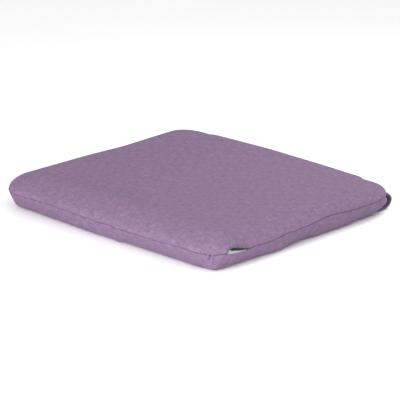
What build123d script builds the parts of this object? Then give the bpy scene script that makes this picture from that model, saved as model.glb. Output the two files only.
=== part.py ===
"""A zipped seat pad: foam core, wadding, two-panel cloth cover, rear zip and two fastening straps.

Millimetres. +X is the pad's right, the front edge is at -Y, +Z is up. The origin is the centre of
the underside, which is the face that the pad rests on.
"""
import math
import os

from build123d import *

os.makedirs("parts", exist_ok=True)

# ---- pad form ----
pad_width = 460.0
pad_depth = 406.0
pad_height = 52.0
corner_radius = 54.0        # of the seam line, seen from above
seam_height = 27.0          # of the seam that joins the two panels, above the underside
wall_rise = 11.0            # of the upright wall, above the seam
crown_run = 34.0            # how far in the top panel rolls before it lies flat
crown_radius = 60.0         # rounds the roll into the flat top
shoulder_radius = 15.0      # rounds the roll into the upright wall above the seam
under_run = 14.8            # how far the lower wall leans in between the seam and the underside
under_radius = 12.0         # rounds the lower wall into the underside

# ---- layers, from the outside in ----
cloth = 1.0                 # cover cloth
layer_gap = 0.3             # between one loose layer and the next
wadding = 5.0               # polyester wadding round the foam
lip = 4.8                   # seam allowance turned in from the seam
thread = 0.8                # the line of seam stitching
thread_inset = 3.0          # from the seam edge to the stitching
thread_clear = 0.1

# ---- rear zip ----
zip_margin = 80.0           # from each side of the pad to the zip's end stop
zip_end = 5.0               # slot beyond each stop
slot_height = 10.0          # opening in the rear seam
tape_width = 12.0
tape_thickness = 0.6
tape_end = 2.0              # of a tape beyond the slot
tape_gap = 3.2              # between the two tapes' edges
chain_depth = 1.7           # of the teeth, front to back
chain_back = 1.0            # from the seam line to the outside of the teeth
tooth_pitch = 2.6
tooth_width = 1.0
tooth_overlap = 1.3         # how far the two rows of teeth pass each other
bead = 0.7                  # strip that carries a row of teeth
slider_length = 9.0
slider_height = 4.8
slider_plate = 1.0
slider_clear = 0.6          # between a slider plate and the teeth
slider_tape_clear = 0.4     # more of it on the inside, where the lower tape leans in
neck = 1.2                  # thickness of the wedge that joins the two plates
neck_length = 3.0
pin_radius = 0.6
pin_clear = 0.12
eye_radius = 1.5
pull_length = 19.0
pull_width = 4.0
pull_thickness = 1.1
lug = 0.9                   # thickness of each ear that holds the pull's pin
lug_clear = 0.2

# ---- fastening straps ----
strap_width = 28.0
strap_thickness = 2.0
strap_from_zip = 22.0       # from the end of the zip's slot to each strap
strap_tail = 38.0           # how far the folded end reaches in under the pad
strap_bulge = 1.6           # how far the strap leans out below its root
fold_height = 13.0          # of the widest part of the fold
fold_rise = 3.4             # of the fold's lower corner over the tail
fold_back = 0.5             # of that corner behind the widest part
fold_radius = 3.2           # along the middle of the cloth
bend_radius = 8.0           # of the two gentler bends
toe = 7.5                   # from the seam edge to where the tail lies level
root_clear = 0.4            # from the seam edge to the sewn root
floor_clear = 0.3           # under the tail
tape_hook = 0.9             # thickness of the hook tape
tape_loop = 1.0             # thickness of the loop tape
grip_clear = 0.1            # between the closed hook and loop faces
grip_length = 24.0
grip_margin = 2.0           # tape edge to strap edge
dent_clear = 1.0            # round the strap in the dent that it lies in
dent_reach = 8.0            # of the dent beyond the strap's end

# ---- labels ----
label_length = 40.0
label_reach = 12.0
label_rise = 4.0
label_thickness = 0.9
label_bend = 4.0            # radius where the label turns up out of the seam
label_from_front = 48.0     # middle of the side label, from the front edge
label_root = 2.6            # how far the label enters the seam
label_clear = 0.15
care_width = 40.0
care_height = 12.0
care_from_stop = 35.0       # middle of the care label, from the zip's bottom stop
care_thickness = 0.4

# ---- sizes that follow ----
half_width = pad_width / 2
half_depth = pad_depth / 2
crown_rise = pad_height - seam_height - wall_rise
wall_angle = math.degrees(math.atan(under_run / seam_height))
crown_angle = math.atan(crown_rise / crown_run)
wadding_outside = cloth + layer_gap
wadding_inside = wadding_outside + wadding
foam_outside = wadding_inside + layer_gap
zip_length = pad_width - 2 * zip_margin
slot_length = zip_length + 2 * zip_end
strap_x = (slot_length + strap_width) / 2 + strap_from_zip
tape_length = slot_length + 2 * tape_end
tape_inside = wadding_outside + tape_thickness
tape_middle = (tape_gap + tape_width) / 2       # of a tape, above or below the seam
care_inside = tape_inside + layer_gap + care_thickness
care_middle = seam_height / 2
care_x = care_from_stop - zip_length / 2
label_y = label_from_front - half_depth
zip_outside = half_depth - chain_back
tail_height = floor_clear + strap_thickness / 2
dent_depth = floor_clear + strap_thickness + tape_hook + grip_clear + tape_loop
hinge_y = half_depth + root_clear + strap_thickness / 2
tail_end = half_depth - strap_tail
dent_end = tail_end - dent_reach


def pad_envelope(inset):
    """The pad's form drawn in by inset, with the dents that the folded straps lie in."""
    run = crown_run - inset * (1 - math.tan(crown_angle / 2))
    rise = crown_rise - inset * (1 - math.tan(math.pi / 4 - crown_angle / 2))
    shoulder = pad_height - inset - rise
    shoulder_turn = math.pi / 2 - crown_angle
    shoulder_room = 0.95 * (shoulder - seam_height) / math.tan(shoulder_turn / 2)
    with BuildPart() as form:
        with BuildSketch(Plane.XY.offset(seam_height)):
            RectangleRounded(pad_width - 2 * inset, pad_depth - 2 * inset, corner_radius - inset)
        extrude(amount=pad_height - inset - seam_height)
        top = form.faces().sort_by(Axis.Z)[-1]
        chamfer(top.edges(), length=run, length2=rise, reference=top)
        shoulder_edges = form.edges().filter_by_position(Axis.Z, shoulder - 0.01, shoulder + 0.01)
        fillet(shoulder_edges, min(shoulder_radius - inset, shoulder_room))
        fillet(form.faces().sort_by(Axis.Z)[-1].edges(), crown_radius - inset)
        with BuildSketch(Plane.XY.offset(seam_height)):
            RectangleRounded(pad_width - 2 * inset, pad_depth - 2 * inset, corner_radius - inset)
        extrude(amount=seam_height - inset, dir=(0, 0, -1), taper=wall_angle)
        fillet(form.faces().sort_by(Axis.Z)[0].edges(), under_radius - inset)
        with BuildSketch(Plane.XY):
            dent_length = half_depth - dent_end + inset
            with Locations((0, half_depth - dent_length / 2)):
                with GridLocations(2 * strap_x, 0, 2, 1):
                    Rectangle(strap_width + 2 * (dent_clear + inset), dent_length)
        extrude(amount=dent_depth + inset, mode=Mode.SUBTRACT)
    return form.part


def seam_ring(outer, inner):
    """A flat ring that follows the seam, between two distances in from it."""
    with BuildSketch(Plane.XY.offset(seam_height)) as ring:
        RectangleRounded(pad_width - 2 * outer, pad_depth - 2 * outer, corner_radius - outer)
        RectangleRounded(pad_width - 2 * inner, pad_depth - 2 * inner, corner_radius - inner, mode=Mode.SUBTRACT)
    return ring.sketch


def rear_patch(outer, inner, middle_x, middle_z, width, height):
    """A piece of one layer of the pad's rear wall, between two insets, inside a width by height box."""
    with BuildPart() as patch:
        add(pad_envelope(outer))
        add(pad_envelope(inner), mode=Mode.SUBTRACT)
        with Locations((middle_x, half_depth, middle_z)):
            Box(width, 4 * under_run, height, mode=Mode.INTERSECT)
    return patch.part


def save(piece, name):
    """Label one finished piece and write it to its own file."""
    piece.part.label = name
    export_step(piece.part, f"parts/{name}.step")


cover_form = pad_envelope(0)
cover_inside = pad_envelope(cloth)
wadding_form = pad_envelope(wadding_outside)
wadding_hollow = pad_envelope(wadding_inside)

# ---- cover panels ----
for panel, side, keep in (("cover_top_panel", 1, Keep.TOP), ("cover_bottom_panel", -1, Keep.BOTTOM)):
    with BuildPart() as cover:
        add(cover_form)
        add(cover_inside, mode=Mode.SUBTRACT)
        split(bisect_by=Plane.XY.offset(seam_height), keep=keep)
        extrude(seam_ring(cloth / 2, cloth + lip), amount=side * cloth)
        extrude(seam_ring(thread_inset - thread_clear, thread_inset + thread + thread_clear),
                amount=side * (thread / 2 + thread_clear), mode=Mode.SUBTRACT)
        with Locations((0, half_depth, seam_height)):
            Box(slot_length, 4 * lip, slot_height, mode=Mode.SUBTRACT)
        with Locations((half_width, label_y, seam_height)):
            Box(2 * (label_root + label_clear), label_length + 2 * label_clear,
                label_thickness + 2 * label_clear, mode=Mode.SUBTRACT)
    save(cover, panel)

with BuildPart() as seam_thread:
    extrude(seam_ring(thread_inset, thread_inset + thread), amount=thread / 2, both=True)
    with Locations((0, half_depth, seam_height)):
        Box(slot_length, 4 * lip, slot_height, mode=Mode.SUBTRACT)
save(seam_thread, "seam_thread")

# ---- filling ----
with BuildPart() as foam_core:
    add(pad_envelope(foam_outside))
save(foam_core, "foam_core")

seam_room = cloth + layer_gap       # the wadding stops this far from the seam's level
for sheet, side, keep in (("wadding_top", 1, Keep.TOP), ("wadding_bottom", -1, Keep.BOTTOM)):
    with BuildPart() as batt:
        add(wadding_form)
        add(wadding_hollow, mode=Mode.SUBTRACT)
        split(bisect_by=Plane.XY.offset(seam_height + side * seam_room), keep=keep)
        with Locations((0, half_depth, seam_height)):
            Box(slot_length, 2 * foam_outside + 1, slot_height + 2 * slider_plate, mode=Mode.SUBTRACT)
        add(rear_patch(wadding_outside, tape_inside + layer_gap, 0, seam_height + side * tape_middle,
                       tape_length + 2 * layer_gap, tape_width + 2 * layer_gap), mode=Mode.SUBTRACT)
        if side < 0:
            add(rear_patch(wadding_outside, care_inside + layer_gap, care_x, care_middle,
                           care_width + 2 * layer_gap, care_height + 2 * layer_gap), mode=Mode.SUBTRACT)
    save(batt, sheet)

with BuildPart() as care_label:
    add(rear_patch(care_inside - care_thickness, care_inside, care_x, care_middle, care_width, care_height))
save(care_label, "care_label")

# ---- rear zip ----
# The zip stands in the rear seam. Its plane faces backwards: local x is the pad's X, local y is up.
for tape, side in (("zip_tape_upper", 1), ("zip_tape_lower", -1)):
    with BuildPart() as zip_tape:
        add(rear_patch(wadding_outside, tape_inside, 0, seam_height + side * tape_middle, tape_length, tape_width))
    save(zip_tape, tape)

tooth_count = 2 * round((zip_length - slider_length) / tooth_pitch / 2)
chain_length = tooth_count * tooth_pitch
chain_x = (chain_length - zip_length) / 2 + tooth_pitch / 2
bead_height = tape_gap / 2 - bead / 2
tooth_height = bead_height - bead / 2 + tooth_overlap / 2
for teeth, side in (("zip_teeth_upper", 1), ("zip_teeth_lower", -1)):
    with BuildPart() as zip_teeth:
        with BuildSketch(Plane.XZ.offset(-zip_outside)):
            with Locations((chain_x, seam_height + side * bead_height)):
                Rectangle(chain_length, bead)
            tooth_middle = seam_height + side * (bead_height - bead / 2 - tooth_height / 2 + bead / 4)
            with Locations((chain_x + side * tooth_pitch / 4, tooth_middle)):
                with GridLocations(tooth_pitch, 0, tooth_count - 1, 1):
                    Rectangle(tooth_width, tooth_height + bead / 2)
        extrude(amount=chain_depth)
    save(zip_teeth, teeth)

stop_length = 3.0
stop_height = 1.2
stop_x = zip_length / 2
with BuildPart() as zip_top_stops:
    with BuildSketch(Plane.XZ.offset(-zip_outside)):
        with Locations((stop_x, seam_height)):
            with GridLocations(0, tape_gap - stop_height, 1, 2):
                Rectangle(stop_length, stop_height)
    extrude(amount=chain_depth)
save(zip_top_stops, "zip_top_stops")

with BuildPart() as zip_bottom_stop:
    with BuildSketch(Plane.XZ.offset(-zip_outside)):
        with Locations((-stop_x - stop_length / 2, seam_height)):
            Rectangle(stop_length, tape_gap)
    extrude(amount=chain_depth)
save(zip_bottom_stop, "zip_bottom_stop")

chain_end = chain_x + chain_length / 2
neck_x = chain_end + neck_length / 2 + slider_clear
slider_x = neck_x + neck_length / 2 + slider_plate - slider_length / 2
plate_outside = zip_outside + slider_clear + slider_plate
plate_inside = zip_outside - chain_depth - slider_clear - slider_tape_clear
pin_y = plate_outside + eye_radius + lug_clear
ear_span = pull_width + 2 * (lug + lug_clear)
pin_x = slider_x
with BuildPart() as zip_slider:
    with BuildSketch(Plane.XZ.offset(-plate_outside)):
        with Locations((slider_x, seam_height)):
            RectangleRounded(slider_length, slider_height, slider_height / 4)
    extrude(amount=slider_plate)
    with BuildSketch(Plane.XZ.offset(-plate_inside)):
        with Locations((slider_x, seam_height)):
            RectangleRounded(slider_length, slider_height, slider_height / 4)
    extrude(amount=slider_plate)
    with BuildSketch(Plane.XZ.offset(-plate_outside)):
        with Locations((neck_x, seam_height)):
            RectangleRounded(neck_length, neck, neck / 3)
    extrude(amount=plate_outside - plate_inside)
    with BuildSketch(Plane.XZ.offset(-plate_outside + slider_plate / 2)):
        with Locations((pin_x, seam_height)):
            with GridLocations(0, ear_span - lug, 1, 2):
                RectangleRounded(2 * eye_radius, lug, lug / 3)
    extrude(amount=-(pin_y + pin_radius + lug_clear - plate_outside + slider_plate / 2))
    with BuildSketch(Plane.XY.offset(seam_height - ear_span / 2 + lug / 2)):
        with Locations((pin_x, pin_y)):
            Circle(pin_radius)
    extrude(amount=ear_span - lug)
save(zip_slider, "zip_slider")

with BuildPart() as zip_pull:
    with BuildSketch(Plane.XY.offset(seam_height - pull_width / 2)):
        with Locations((pin_x, pin_y)):
            Circle(eye_radius)
        with Locations((pin_x - pull_length / 2, pin_y)):
            Rectangle(pull_length, pull_thickness)
        with Locations((pin_x, pin_y)):
            Circle(pin_radius + pin_clear, mode=Mode.SUBTRACT)
    extrude(amount=pull_width)
    fillet(zip_pull.edges().filter_by(Axis.Y).group_by(Axis.X)[0], pull_width / 3)
save(zip_pull, "zip_pull")

# ---- fastening straps ----
# Each strap leaves the rear seam, bulges out, folds under and lies on its loop tape, hook side up.
fold_y = hinge_y + strap_bulge
strap_line = [
    (hinge_y, seam_height),
    (fold_y, fold_height),
    (fold_y - fold_back, tail_height + fold_rise),
    (half_depth - toe, tail_height),
    (tail_end, tail_height),
]
for side, sign in (("right", 1), ("left", -1)):
    strap_plane = Plane.YZ.offset(sign * strap_x - strap_width / 2)
    grip_plane = Plane.XY.offset(tail_height + strap_thickness / 2)
    with BuildPart() as strap:
        with BuildSketch(strap_plane):
            with BuildLine():
                FilletPolyline(*strap_line, radius=[bend_radius, fold_radius, bend_radius])
            trace(line_width=strap_thickness)
            with Locations(strap_line[0]):
                Circle(strap_thickness / 2)
        extrude(amount=strap_width)
    save(strap, f"strap_{side}")

    grip_middle = (sign * strap_x, tail_end + grip_margin + grip_length / 2)
    with BuildPart() as hook_tape:
        with BuildSketch(grip_plane):
            with Locations(grip_middle):
                Rectangle(strap_width - 2 * grip_margin, grip_length)
        extrude(amount=tape_hook)
    save(hook_tape, f"hook_tape_{side}")

    with BuildPart() as loop_tape:
        with BuildSketch(grip_plane.offset(tape_hook + grip_clear)):
            with Locations(grip_middle):
                Rectangle(strap_width - 2 * grip_margin, grip_length)
        extrude(amount=tape_loop)
    save(loop_tape, f"loop_tape_{side}")

# ---- side label ----
# A folded woven tab, caught in the seam of the right side and standing out a little above level.
with BuildPart() as side_label:
    with BuildSketch(Plane.XZ.offset(label_length / 2 - label_y)):
        with BuildLine():
            root = (half_width - label_root, seam_height)
            bend = (half_width + layer_gap + label_thickness, seam_height)
            FilletPolyline(root, bend, (half_width + label_reach, seam_height + label_rise), radius=label_bend)
        trace(line_width=label_thickness)
    extrude(amount=-label_length)
save(side_label, "side_label")
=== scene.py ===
# Zipped seat pad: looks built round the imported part. Metres, +Z up, the front edge at -Y.
import bpy
import math
import numpy as np
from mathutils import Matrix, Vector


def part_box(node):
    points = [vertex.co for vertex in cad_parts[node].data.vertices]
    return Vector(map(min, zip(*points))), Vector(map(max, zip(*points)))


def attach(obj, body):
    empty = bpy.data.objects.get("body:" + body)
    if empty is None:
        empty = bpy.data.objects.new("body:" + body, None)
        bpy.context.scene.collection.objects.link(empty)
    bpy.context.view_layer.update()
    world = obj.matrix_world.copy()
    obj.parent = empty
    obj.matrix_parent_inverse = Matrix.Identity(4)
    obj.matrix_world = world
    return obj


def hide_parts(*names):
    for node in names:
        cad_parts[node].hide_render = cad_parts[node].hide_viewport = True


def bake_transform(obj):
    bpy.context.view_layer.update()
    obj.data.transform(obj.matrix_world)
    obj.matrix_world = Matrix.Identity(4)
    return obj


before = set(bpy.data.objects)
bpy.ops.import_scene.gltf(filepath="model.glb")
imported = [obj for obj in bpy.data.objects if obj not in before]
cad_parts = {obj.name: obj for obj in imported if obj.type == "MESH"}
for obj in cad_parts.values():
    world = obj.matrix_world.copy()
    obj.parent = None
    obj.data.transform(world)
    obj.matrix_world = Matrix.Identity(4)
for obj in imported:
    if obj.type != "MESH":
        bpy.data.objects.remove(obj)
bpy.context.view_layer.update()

mm = 0.001
scene = bpy.context.scene

# pad form
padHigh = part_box("cover_top_panel")[1]
padForm = {
    "halfWidth": padHigh.x, "halfDepth": padHigh.y, "height": padHigh.z,
    "seam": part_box("cover_bottom_panel")[1].z,      # height of the seam
    "rearTaper": 5 * mm,        # each side draws in by this much towards the back
    "frontRadius": 50 * mm, "rearRadius": 52 * mm, "rearLeftRadius": 54 * mm,
    "crownRun": 47 * mm,        # how far in the roll meets the flat top
    "crownSoft": 1.75,          # 2 rolls as an ellipse, less keeps a crisper edge to the flat top
    "frontCrisp": 0.38,         # how much less along the front
    "crownFull": 2.25,          # more stands the wall straighter above the seam
    "underRun": 14.8 * mm,      # how far the lower wall leans in
    "underFull": 1.25, "underFall": 1.15,
    "footRadius": 7 * mm,       # rounds the lower wall into the underside
    "footFrom": 0.62, "footShare": 0.8,
    "grooveDepth": 1.55 * mm, "grooveHalf": 0.9 * mm,    # the seam pulls the cloth in
    "rimGap": 1.2 * mm, "rimRise": 0.8 * mm,    # the roll ends this far under the height and climbs on
    "valley": 4.2 * mm,         # of the hollow behind the roll along the front
    "valleyY": -126, "valleyHalf": 27, "valleyEnd": 150, "valleyFull": -60,    # where it lies, in mm
    "dish": 2.4 * mm,           # how much lower the middle of the top lies than its rim
    "drift": [(0.45 * mm, 0.17, 3), (0.22 * mm, 0.06, 5)],    # uneven top: size, wavelength and seed
    "layerBack": 3.4 * mm, "layerFade": 9 * mm, "layerRun": 0.6,    # how the layers inside draw back
    "cloth": 0.9 * mm,
}
around, ringsWall, ringsFlat = 640, 44, 26              # columns and rings of the fine panels

# soft bumps round the pad, in mm: a place on the seam line in plan, half the bump's length and its size
seamLift = [(229, -88, 26, -2.6), (227, 45, 36, 4.6), (213, -190, 10, -1.6), (229, -136, 24, -2.3),
            (-116, -203, 40, 1.6), (35, -203, 60, -1.2), (14, -203, 9, 1.5), (28, -203, 7, -0.8),
            (165, -203, 30, 1.6), (224, 165, 24, 0.8)]
footOut = [(228, -60, 22, 6.2), (228, -98, 20, 2.2), (228, 2, 18, -3.2), (226, 92, 26, 1.6),
           (226, 122, 14, -1.8), (-24, -203, 62, 3.6), (26, -203, 7, 2.6), (-168, -203, 24, -3.0),
           (216, -186, 14, 8.0), (228, 44, 74, 3.4), (-214, -188, 18, 3.0), (-212, 184, 16, 5.0),
           (200, 196, 26, 4.5), (-196, 199, 20, 4.0)]
cornerOut = [(206, 193, 24, 5.5)]                   # the underside's corner bulges into the folded strap
grooveLess = [(-218, -182, 34, 1.5)]                # the groove is shallower here
# soft round bumps of the top, in mm: a place in plan, the bump's radius and its size
crownSag = [(-200, 50, 46, -2.4), (-196, 158, 34, 1.2), (-170, 178, 34, -1.6), (-32, 172, 62, 2.0),
            (150, 176, 50, -4.6), (196, 164, 46, -6.4)]


# Points and outward normals of the seam line, drawn in by inset: a rounded trapezoid, walked by arc
# length. Each corner is an arc about its own centre and each side a straight line between two arcs. inset
# and u are arrays of the same shape, and the place along the line is the same for every inset.
def outline(inset, u):
    f = padForm
    w, d, t = f["halfWidth"], f["halfDepth"], f["rearTaper"]
    lean = math.atan2(t, 2 * d)                     # of the two sides
    corners = [(w, -d, f["frontRadius"], -math.pi / 2, math.pi / 2 + lean),
               (w - t, d, f["rearRadius"], lean, math.pi / 2 - lean),
               (-w + t, d, f["rearLeftRadius"], math.pi / 2, math.pi / 2 - lean),
               (-w, -d, f["frontRadius"], math.pi - lean, math.pi / 2 + lean)]
    knots, spans = [], []
    for x, y, r, start, turn in corners:
        a, b = start, start + turn
        na, nb = np.array([math.cos(a), math.sin(a)]), np.array([math.cos(b), math.sin(b)])
        # the arc's centre lies r inside both sides that meet at the corner
        centre = np.linalg.solve(np.array([na, nb]), [na @ (x, y) - r, nb @ (x, y) - r])
        knots.append((centre, r, a, turn))
    lengths = []
    for i, (c, r, a, turn) in enumerate(knots):
        nextC, nextR, nextA, _ = knots[(i + 1) % 4]
        end = c + r * np.array([math.cos(a + turn), math.sin(a + turn)])
        go = nextC + nextR * np.array([math.cos(nextA), math.sin(nextA)])
        lengths += [r * turn, float(np.hypot(*(go - end)))]
        spans += [("arc", c, r, a, turn), ("line", end, go, a + turn)]
    marks = np.concatenate([[0], np.cumsum(lengths)]) / sum(lengths)
    inset, u = np.broadcast_arrays(np.asarray(inset, float), np.asarray(u, float) % 1.0)
    p, n = np.zeros(u.shape + (2,)), np.zeros(u.shape + (2,))
    for k, span in enumerate(spans):
        m = (u >= marks[k]) & (u < marks[k + 1] + (1e-9 if k == 7 else 0))
        s = (u[m] - marks[k]) / (marks[k + 1] - marks[k])
        if span[0] == "arc":
            _, c, r, a, turn = span
            angle = a + turn * s
            nm = np.stack([np.cos(angle), np.sin(angle)], -1)
            pm = c + r * nm
        else:
            _, start, end, a = span
            nm = np.broadcast_to([math.cos(a), math.sin(a)], s.shape + (2,))
            pm = start + (end - start) * s[:, None]
        p[m], n[m] = pm - nm * inset[m][:, None], nm
    return p, n


seamSteps = 4000
seamLine = outline(0.0, np.arange(seamSteps) / seamSteps)[0]
seamLength = float(np.sum(np.hypot(*(np.roll(seamLine, -1, 0) - seamLine).T)))


# The part of the seam line, 0 to 1, that lies nearest to a place in plan.
def nearestPart(x, y):
    return float(np.argmin(np.hypot(seamLine[:, 0] - x, seamLine[:, 1] - y)) / seamSteps)


# Distance in mm along the seam line from a place given in mm, taken the shorter way round, with its sign.
def awayFrom(u, x, y):
    return ((u - nearestPart(x * mm, y * mm) + 0.5) % 1 - 0.5) * seamLength / mm


# Adds up soft bumps: bell curves of the distance along the seam line from each bump's place.
def along(u, bumps):
    total = np.zeros(np.shape(u))
    for x, y, half, size in bumps:
        total += size * mm * np.exp(-(awayFrom(u, x, y) / half) ** 2)
    return total


# Adds up soft round bumps: bell curves of the distance in plan from each bump's place.
def sagged(x, y):
    total = np.zeros(np.broadcast(x, y).shape)
    for placeX, placeY, half, size in crownSag:
        total += size * mm * np.exp(-((x / mm - placeX) ** 2 + (y / mm - placeY) ** 2) / half ** 2)
    return total


# Smooth noise, mostly from -1 to 1: a sum of eight plane waves with angles and phases drawn from a seed.
def waveNoise(x, y, wavelength, seed):
    rng = np.random.default_rng(seed)
    angles = rng.uniform(0, np.pi, 8)
    phases = rng.uniform(0, 2 * np.pi, 8)
    stretches = rng.uniform(0.7, 1.5, 8)
    total = np.zeros(np.broadcast(x, y).shape)
    for angle, phase, stretch in zip(angles, phases, stretches):
        k = 2 * math.pi / (wavelength * stretch)
        total += np.sin(k * (x * math.cos(angle) + y * math.sin(angle)) + phase)
    return total / 4


# A soft step, 0 below low and 1 above high: 3t^2 - 2t^3 of the share t of the way between them.
def smooth(x, low, high):
    t = np.clip((x - low) / (high - low), 0, 1)
    return t * t * (3 - 2 * t)


# rear zip slot and strap dents
zipSlot = {"half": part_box("zip_tape_upper")[1].x - 2 * mm, "open": 4.6 * mm, "fade": 9 * mm,
           "facing": (0.5, 0.95),                       # it opens as the seam line turns to face the rear
           "pocketPast": 10 * mm, "pocketFade": 5 * mm}     # the wadding's hollow behind it
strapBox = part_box("strap_right")
strapMiddle, strapHalf = (strapBox[0].x + strapBox[1].x) / 2, (strapBox[1].x - strapBox[0].x) / 2
dent = {"x": strapMiddle, "half": strapHalf + 1 * mm, "fade": 7 * mm, "from": strapBox[0].y - 8 * mm,
        "depth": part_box("loop_tape_right")[1].z,
        "rear": 6.5 * mm, "rearRun": (-7 * mm, 30 * mm),                # it climbs on towards the rear
        "outer": 6.5 * mm, "outerX": (4 * mm, 34 * mm), "outerY": (-12 * mm, 14 * mm)}    # and the corner


# Half the height of the zip's opening: full along the slot, with a soft step down at both ends.
def slotOpen(p, n):
    full = smooth(zipSlot["half"] - np.abs(p[..., 0]), -zipSlot["fade"] / 3, zipSlot["fade"])
    return zipSlot["open"] * full * smooth(n[..., 1], *zipSlot["facing"])


# How far the underside gives way over a folded strap: soft steps at the strap's inner edge and front end,
# with two more that climb towards the rear and the outer corner.
def dentLift(x, y):
    side = smooth(np.abs(x) - dent["x"] + dent["half"] + dent["fade"], 0, dent["fade"])
    lift = dent["depth"] * smooth(y, dent["from"] - dent["fade"], dent["from"]) \
        + dent["rear"] * smooth(y, *[strapBox[0].y + d for d in dent["rearRun"]])
    outer = smooth(np.abs(x), *[dent["x"] + d for d in dent["outerX"]])
    return side * lift + dent["outer"] * outer * smooth(y, *[dent["from"] + d for d in dent["outerY"]])


# Height of the seam: its level plus the soft bumps along it.
def seamZ(u):
    return padForm["seam"] + along(u, seamLift)


# stitched darts and pulled wrinkles near the seam: where on the seam line, how far above it the middle
# lies, half its length, lean, half its width and how deep it pulls in, in mm. A minus depth is a ridge.
creases = [(211, -192, -5, 6, 0.15, 1.4, 3.0), (213.6, -189.6, -6, 6, 0.05, 1.5, -2.2),
           (207, -196, 4, 4, 0.2, 2.0, 1.8), (209.5, -193.5, 3, 4, 0.0, 1.6, -1.2),
           (222, -179, -7, 6, 0.3, 1.8, -1.1), (225, -172, -8, 7, 0.3, 2.6, 0.9),
           (20, -203, -8, 11, 0.7, 3.0, 2.0), (28, -203, -10, 11, 0.65, 3.6, -1.8),
           (224, 160, -6, 9, 0.0, 1.8, 1.5), (225, 154, -6, 9, 0.0, 2.6, -0.9),
           (229, -150, 10, 8, -0.9, 2.6, 0.8), (229, -134, 10, 9, -1.3, 3.0, 0.8),
           (228, -165, 9, 7, 0.8, 2.4, 0.9), (-212, -190, 5, 7, 0.3, 2.4, 0.9),
           (-206, -196, -7, 7, 0.2, 2.2, 1.0), (-214, 183, 6, 8, 0.2, 2.4, 1.0),
           (214, 183, 7, 8, -0.2, 2.4, 1.0), (-222, 168, -7, 8, 0.2, 2.2, 1.0)]


# How far the wall is drawn in by the creases: a bell curve across each one, flat-topped along its length.
def creased(u, high):
    total = np.zeros(np.broadcast(u, high).shape)
    for x, y, middle, half, lean, wide, deep in creases:
        across = awayFrom(u, x, y) - lean * (high / mm - middle)
        total += deep * mm * np.exp(-(across / wide) ** 2) * np.exp(-((high / mm - middle) / half) ** 4)
    return total


# Depth of the roll where it has climbed this share of its rise: the superellipse solved for depth.
def rollDepth(share, run, soft):
    angle = np.arcsin(np.clip(share, 0, 1) ** (padForm["crownFull"] / 2))
    return run * (1 - np.cos(angle) ** (2 / soft))


# The stitched groove: a bell curve of the height off the seam, left out along the zip.
def grooved(u, high, opening):
    depth = padForm["grooveDepth"] - along(u, grooveLess)
    return depth * np.exp(-(np.abs(high) / padForm["grooveHalf"]) ** 1.5) * (1 - opening / zipSlot["open"])


# How far the layers inside stand back from the seam's turned-in edges: a bell curve of the height off it.
def behindSeam(high):
    return padForm["layerBack"] * np.exp(-(high / padForm["layerFade"]) ** 2)


# The roll of the top panel: v runs from the seam, 0, to the flat top, 1. Its section is a superellipse,
# ((run - depth) / run) ^ soft + (climb / rise) ^ full = 1. A skin has the groove and the creases.
def topWall(u, v, inset, skin):
    angle = v * math.pi / 2
    share = np.sin(angle) ** (2 / padForm["crownFull"])
    p, n = outline(0.0, u)
    opening = slotOpen(p, n)
    base = seamZ(u) + opening
    z = base + (padForm["height"] - padForm["rimGap"] - inset - base) * share
    soft = padForm["crownSoft"] - padForm["frontCrisp"] * smooth(-n[..., 1] - 0.3 * n[..., 0], 0.2, 0.9)
    d = inset + rollDepth(share, padForm["crownRun"] - inset * padForm["layerRun"], soft)
    if skin:
        d = d + grooved(u, z - base, opening) + creased(u, z - base) * (1 - share)
    else:
        d = d + behindSeam(z - base)
    p, n = outline(d, u)
    z = z + sagged(p[..., 0], p[..., 1]) * smooth(share, 0.2, 1.0)
    return np.dstack([p, z[..., None]])


# The leaning wall of the bottom panel: v runs from the seam, 0, to the foot, 1. It falls by a power of the
# sine of v quarter turns, leans in by run * fall ^ full, and rounds under at the foot with a soft step.
def bottomWall(u, v, inset, skin):
    p, n = outline(0.0, u)
    opening = slotOpen(p, n)
    base = seamZ(u) - opening
    fall = np.sin(v * math.pi / 2) ** padForm["underFall"]
    run = padForm["underRun"] - along(u, footOut)
    z = inset + (base - inset) * (1 - fall)
    foot = padForm["footRadius"] * smooth(v, padForm["footFrom"], 1.0) * padForm["footShare"]
    d = inset + run * fall ** padForm["underFull"] + foot
    d = d - along(u, cornerOut) * smooth(fall, 0.05, 0.45)
    if skin:
        d = d + grooved(u, base - z, opening) + creased(u, z - base) * (1 - fall)
    else:
        d = d + behindSeam(base - z)
    p, n = outline(d, u)
    return np.dstack([p, z[..., None]])


# Rings inside the last ring of the wall: that ring times (1 - t), for even steps of t towards the middle.
def closeIn(ring, flatZ, count):
    t = (np.arange(1, count) / count)[:, None]
    out = np.repeat(ring[None], count - 1, 0)
    out[..., :2] *= (1 - t)[..., None]
    out[..., 2] = flatZ(out[..., 0], out[..., 1], out[..., 2], t)
    return out


closer = {"more": 2.2, "half": 9}                       # columns gather this much, and this near in mm


# Columns round the pad, closer together near the creases: even steps of the summed-up density.
def columnPlaces(count):
    u = np.linspace(0, 1, seamSteps + 1)
    density = np.ones_like(u)
    for x, y, *_ in creases:
        density += closer["more"] * np.exp(-(awayFrom(u, x, y) / closer["half"]) ** 2)
    gone = np.concatenate([[0], np.cumsum((density[1:] + density[:-1]) / 2)])
    return np.interp(np.arange(count) / count, gone / gone[-1], u)


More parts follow.
